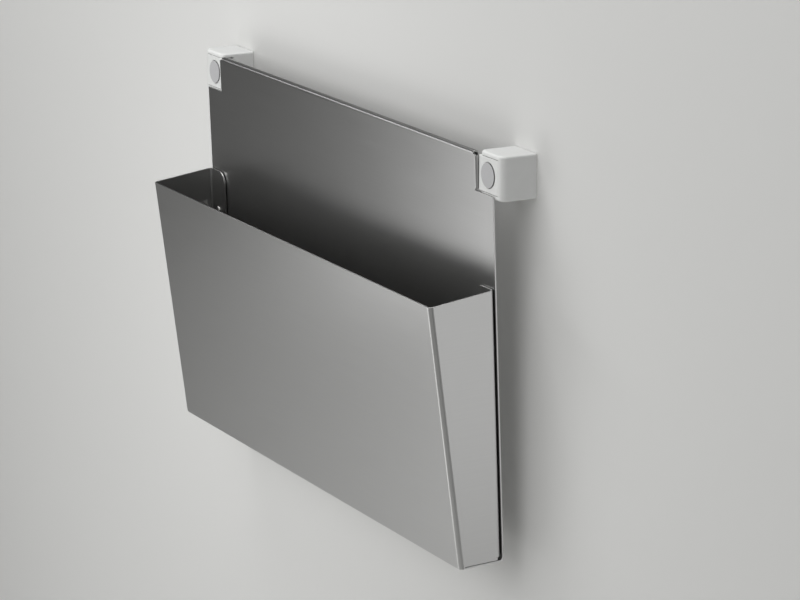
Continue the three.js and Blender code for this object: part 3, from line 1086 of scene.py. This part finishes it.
@dataclass
class CornerBlock:
    """Moulded block in a corner notch, with its clamp cover, cap, screw, washer and insert."""

    rack: RackSizes
    side: Side
    corner: float = 4.8
    edge: float = 1.6
    edge_steps: int = 6
    edge_break: float = 0.22
    cover_break: float = 0.3
    cover_web: float = 1.7
    cover_slit: float = 0.05  # gap at the cover's outer edge, pressed tight
    screw_radius: float = 2.45
    washer_radius: float = 5.0
    insert_radius: float = 4.0
    insert_pitch: float = 0.8
    insert_chamfer: float = 0.4
    cap_radius: float = 7.8
    cap_thickness: float = 2.0
    cap_raise: float = 0.6
    cap_edge: float = 0.15
    cap_rim: float = 0.2  # thickness of the rim above the groove that a nail lifts it by
    cap_groove: float = 1.2
    cap_skirt_wall: float = 1.0
    cap_skirt_length: float = 3.6

    @property
    def place(self) -> Matrix:
        """Where the block's clamp screw is in the frame, in millimetres."""
        reach = self.rack.block_inner + self.rack.cover_width / 2
        return Matrix.Translation((self.side.value * reach, 0, 0))

    @property
    def lug_front(self) -> float:
        """Front of the lug in the upright rack."""
        return -self.rack.sheet + self.rack.lug_setback

    @property
    def cap_seat(self) -> float:
        """Underside of the cap's disc."""
        return -self.rack.block_depth - self.cap_raise + self.cap_thickness

    @property
    def skirt_radius(self) -> float:
        """Outside of the cap's skirt."""
        return self.washer_radius + FIT + self.cap_skirt_wall

    @property
    def thread_minor(self) -> float:
        """Smallest radius inside the insert."""
        return self.screw_radius + FIT

    @property
    def thread_depth(self) -> float:
        """Depth of the insert's thread."""
        return self.insert_pitch / 2

    def leaning_outline(self, front: float, half_height: float, rack_y: float) -> list[Point]:
        """Outline, seen from the side, whose rear leans like the rack.

        Args:
            front: flat front.
            half_height: half its height.
            rack_y: where its rear lies in the upright rack.

        Returns:
            Corners in Y and Z.
        """
        foot, head = -half_height, half_height
        low, high = self.rack.leaning_y(rack_y, foot), self.rack.leaning_y(rack_y, head)
        return [(front, foot), (low, foot), (high, head), (front, head)]

    def body(self) -> Object:
        """Build the block with its recess for the lug and the cover.

        Returns:
            The moulding about its screw.
        """
        rack = self.rack
        inner = -self.side.value * rack.cover_width / 2
        outer = inner + self.side.value * rack.block_width
        left, right = sorted((inner, outer))
        bow = -rack.block_depth + self.corner
        outline = [
            (right, self.edge),
            (left, self.edge),
            *arc((left + self.corner, bow), self.corner, 180, 270, CORNER_STEPS),
            *arc((right - self.corner, bow), self.corner, 270, 360, CORNER_STEPS),
        ]
        piece = prism(f"block_body_{self.side.label}_moulding", outline, "Z",
                      -rack.block_height / 2, rack.block_height / 2)
        shape = bmesh.new()
        shape.from_mesh(piece.data)
        level = [e for e in shape.edges if abs(e.verts[0].co.z - e.verts[1].co.z) < TINY]
        bmesh.ops.bevel(shape, geom=level, offset=self.edge, segments=self.edge_steps, profile=0.5,
                        affect="EDGES", clamp_overlap=False)
        for face in shape.faces:
            face.smooth = True
        shape.to_mesh(piece.data)
        shape.free()
        deep = 2 * rack.block_depth  # well past the block
        wide = rack.block_width
        hole = self.insert_radius + FIT
        recess_half = rack.cover_height / 2 + FIT
        recess = self.leaning_outline(-deep, recess_half, self.lug_front + rack.sheet + FIT)
        recess_end = self.side.value * (rack.cover_width / 2 + FIT)
        carve(
            piece,
            prism("wall", [(-wide, 0), (wide, 0), (wide, deep), (-wide, deep)], "Z", -deep, deep),
            prism("recess", recess, "X", *sorted((-self.side.value * deep, recess_end))),
            lathe("bore", [(0.0, -deep), (hole, -deep), (hole, deep), (0.0, deep)]),
        )
        break_edges(piece, self.edge_break)
        return piece

    def cover(self) -> Object:
        """Build the square cover that clamps the lug, with its stepped bore for screw and cap.

        Returns:
            The moulding about its screw.
        """
        rack = self.rack
        half = rack.cover_width / 2
        rear = self.lug_front - FIT
        outline = self.leaning_outline(-rack.block_depth, rack.cover_height / 2, rear)
        reach = self.side.value * (half + FIT - self.cover_slit)
        piece = prism(f"clamp_cover_{self.side.label}_moulding", outline, "X",
                      *sorted((-self.side.value * half, reach)))
        deep = -2 * rack.block_depth  # well in front of the block
        washer_seat = rack.leaning_y(rear, 0) - self.cover_web
        carve(piece, lathe("bore", [
            (0.0, deep),
            (self.cap_radius + FIT, deep),
            (self.cap_radius + FIT, self.cap_seat + FIT),
            (self.skirt_radius + FIT, self.cap_seat + FIT),
            (self.skirt_radius + FIT, washer_seat),
            (self.screw_radius + FIT, washer_seat),
            (self.screw_radius + FIT, -deep),
            (0.0, -deep),
        ]))
        break_edges(piece, self.cover_break, steps=3)
        return piece

    def cap(self) -> Object:
        """Build the cap: a disc with its rim over a nail groove, and a skirt that plugs in.

        Returns:
            The moulding about its screw.
        """
        face = -self.rack.block_depth - self.cap_raise
        inside = self.skirt_radius - self.cap_skirt_wall
        edge_centre = (self.cap_radius - self.cap_edge, face + self.cap_edge)
        rim = arc(edge_centre, self.cap_edge, -90, 0, CORNER_STEPS)
        piece = lathe(f"cover_cap_{self.side.label}_moulding", [
            (0.0, face),
            *rim,
            (self.cap_radius, face + self.cap_rim),
            (self.cap_radius - self.cap_groove, face + self.cap_rim),
            (self.cap_radius - self.cap_groove, self.cap_seat),
            (self.skirt_radius, self.cap_seat),
            (self.skirt_radius, self.cap_seat + self.cap_skirt_length),
            (inside, self.cap_seat + self.cap_skirt_length),
            (inside, self.cap_seat),
            (0.0, self.cap_seat),
        ])
        break_edges(piece, self.edge_break / 2)
        return piece

    def thread_radius(self, y: float, angle: float) -> float:
        """Radius of the cut thread at a place along the screw and an angle round it."""
        turn = (y / self.insert_pitch - angle / math.tau) % 1
        return self.thread_minor + self.thread_depth * (1 - abs(2 * turn - 1))

    def insert(self) -> Object:
        """Build the brass insert with its cut thread, open at the wall.

        Returns:
            The turned piece about its screw.
        """
        start = self.rack.leaning_y(self.lug_front + self.rack.sheet + FIT, 0) + FIT
        end = -FIT
        rows = int((end - start) / self.insert_pitch * THREAD_STEPS)
        length = end - start - 2 * self.insert_chamfer
        thread = [end - self.insert_chamfer - length * i / rows for i in range(rows + 1)]
        mouth = self.thread_minor + self.thread_depth
        return lathe(f"threaded_insert_{self.side.label}_turned", [
            (self.insert_radius - self.insert_chamfer, start),
            (self.insert_radius, start + self.insert_chamfer),
            (self.insert_radius, end - self.insert_chamfer),
            (self.insert_radius - self.insert_chamfer, end),
            (mouth, end),
            *((partial(self.thread_radius, y), y) for y in thread),
            (mouth, start),
        ])

    def dress(self, finishes: Finishes) -> None:
        """Build the block's pieces, put them in place and dress its hidden fasteners.

        Args:
            finishes: materials of the object.
        """
        label = self.side.label
        cap_body = Body.CAP_LEFT if self.side is Side.LEFT else Body.CAP_RIGHT
        pieces = (
            (self.body(), Body.RACK, Slot.BLOCK, f"block_body_{label}"),
            (self.cover(), Body.RACK, Slot.BLOCK, f"clamp_cover_{label}"),
            (self.cap(), cap_body, Slot.CAP, f"cover_cap_{label}"),
            (self.insert(), Body.RACK, Slot.INSERT, f"threaded_insert_{label}"),
        )
        for piece, body, slot, node in pieces:
            put(piece, self.place, body, slot, finishes, node)
        for node in (f"clamp_screw_{label}", f"washer_{label}"):
            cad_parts[node].material_slots[0].material = finishes[Slot.SCREW]
            LOG.info("%s keeps its solid", node)


# Studio


@dataclass(frozen=True)
class Softbox:
    """Rectangular studio lamp, in metres and watts."""

    name: str
    place: Place
    size: Point
    power: float
    aim: Place = (0.0, -0.04, -0.1)  # middle of the rack

    def build(self) -> None:
        """Hang the lamp; it lights and is mirrored, but never stands in the view itself."""
        lamp = bpy.data.lights.new(self.name, "AREA")
        lamp.shape = "RECTANGLE"
        lamp.size, lamp.size_y = self.size
        lamp.energy = self.power
        holder = bpy.data.objects.new(self.name, lamp)
        way = Vector(self.aim) - Vector(self.place)
        facing = way.to_track_quat("-Z", "Y").to_matrix().to_4x4()
        holder.matrix_world = Matrix.Translation(self.place) @ facing
        holder.visible_camera = False
        bpy.context.scene.collection.objects.link(holder)


@dataclass
class Studio:
    """Pale floor and wall, soft lamps and the camera, in metres and degrees."""

    camera_lens: float = 154.29
    sensor_width: float = 36.0
    camera_azimuth: float = 61.524
    camera_elevation: float = 14.517
    camera_distance: float = 2.1693
    camera_aim: Place = (0.1043, -0.0378, -0.0963)
    floor_z: float = -0.95
    floor_reach: float = 14.0
    wall_gap: float = 0.0003
    world_level: float = 0.045

    def camera(self) -> None:
        """Set up the camera at the photograph's viewing angle."""
        turn = math.radians(self.camera_azimuth)
        rise = math.radians(self.camera_elevation)
        level = math.cos(rise)
        back = Vector((math.sin(turn) * level, -math.cos(turn) * level, math.sin(rise)))
        lens = bpy.data.cameras.new("camera")
        lens.lens = self.camera_lens
        lens.sensor_width = self.sensor_width
        holder = bpy.data.objects.new("camera", lens)
        holder.location = Vector(self.camera_aim) + back * self.camera_distance
        holder.rotation_euler = (-back).to_track_quat("-Z", "Y").to_euler()
        bpy.context.scene.collection.objects.link(holder)
        bpy.context.scene.camera = holder

    def panel(self, name: str, corners: Sequence[Place], finish: MattPaint) -> Object:
        """Stand a flat stage panel.

        Args:
            name: name of the panel.
            corners: its corners in metres, anticlockwise seen from its front.
            finish: its paint.

        Returns:
            The panel.
        """
        mesh = bpy.data.meshes.new(name)
        mesh.from_pydata(corners, [], [range(len(corners))])
        mesh.materials.append(finish.make())
        panel = bpy.data.objects.new(name, mesh)
        bpy.context.scene.collection.objects.link(panel)
        return panel

    def backdrop(self) -> None:
        """Lay the floor and stand the wall, which only the camera sees."""
        reach = self.floor_reach
        low = self.floor_z
        across = (-reach, reach, reach, -reach)
        floor = [(x, y, low) for x, y in zip(across, (-reach, -reach, reach, reach))]
        self.panel("floor", floor, MattPaint("pale_floor_paint", "#ececea"))
        upright = [(x, self.wall_gap, z) for x, z in zip(across, (low, low, reach, reach))]
        wall = self.panel("wall", upright, MattPaint("pale_wall_paint", "#e4e4e2"))
        for rays in ("diffuse", "glossy", "transmission", "shadow"):
            setattr(wall, f"visible_{rays}", False)

    def lights(self) -> None:
        """Light the rack with soft boxes in front, overhead and behind, and cards for its steel."""
        world = bpy.data.worlds.new("studio")
        world.use_nodes = True
        background = world.node_tree.nodes["Background"]
        background.inputs["Color"].default_value = linear("#ffffff")
        background.inputs["Strength"].default_value = self.world_level
        bpy.context.scene.world = world
        for lamp in (
            Softbox("low_key", (-0.453, -0.825, -0.523), (0.45, 0.50), 1.02),
            Softbox("front", (0.300, -1.500, 0.600), (2.20, 1.65), 13.00),
            Softbox("low_card", (-0.568, -0.437, -0.500), (0.40, 0.35), 0.06),
            Softbox("room", (1.915, -1.647, -0.100), (2.20, 2.20), 3.40),
            Softbox("overhead", (-0.250, -0.150, 1.400), (1.40, 1.40), 21.00),
            Softbox("right_card", (1.765, 0.898, -0.130), (1.30, 1.50), 4.75),
            Softbox("near_card", (-0.169, -0.362, -0.111), (0.24, 0.30), 0.285),
            Softbox("strip", (-0.740, -0.661, 0.159), (0.50, 0.16), 0.75),
            Softbox("rear_fill", (0.540, 1.980, -0.240), (1.80, 1.20), 5.00),
        ):
            lamp.build()

    def build(self) -> None:
        """Build the whole stage."""
        bpy.context.scene.view_settings.view_transform = "Standard"
        self.camera()
        self.backdrop()
        self.lights()


def main() -> None:
    """Build the stage and the rack, piece by piece."""
    logging.basicConfig(level=logging.INFO, format="%(name)s: %(message)s")
    Studio().build()
    finishes = make_finishes()
    rack = RackSizes()
    BackPlate(rack).dress(finishes)
    PocketShell(rack).dress(finishes)
    FlangeRivets(rack).dress(finishes)
    for side in Side:
        CornerBlock(rack, side).dress(finishes)


if __name__ == "__main__":
    main()
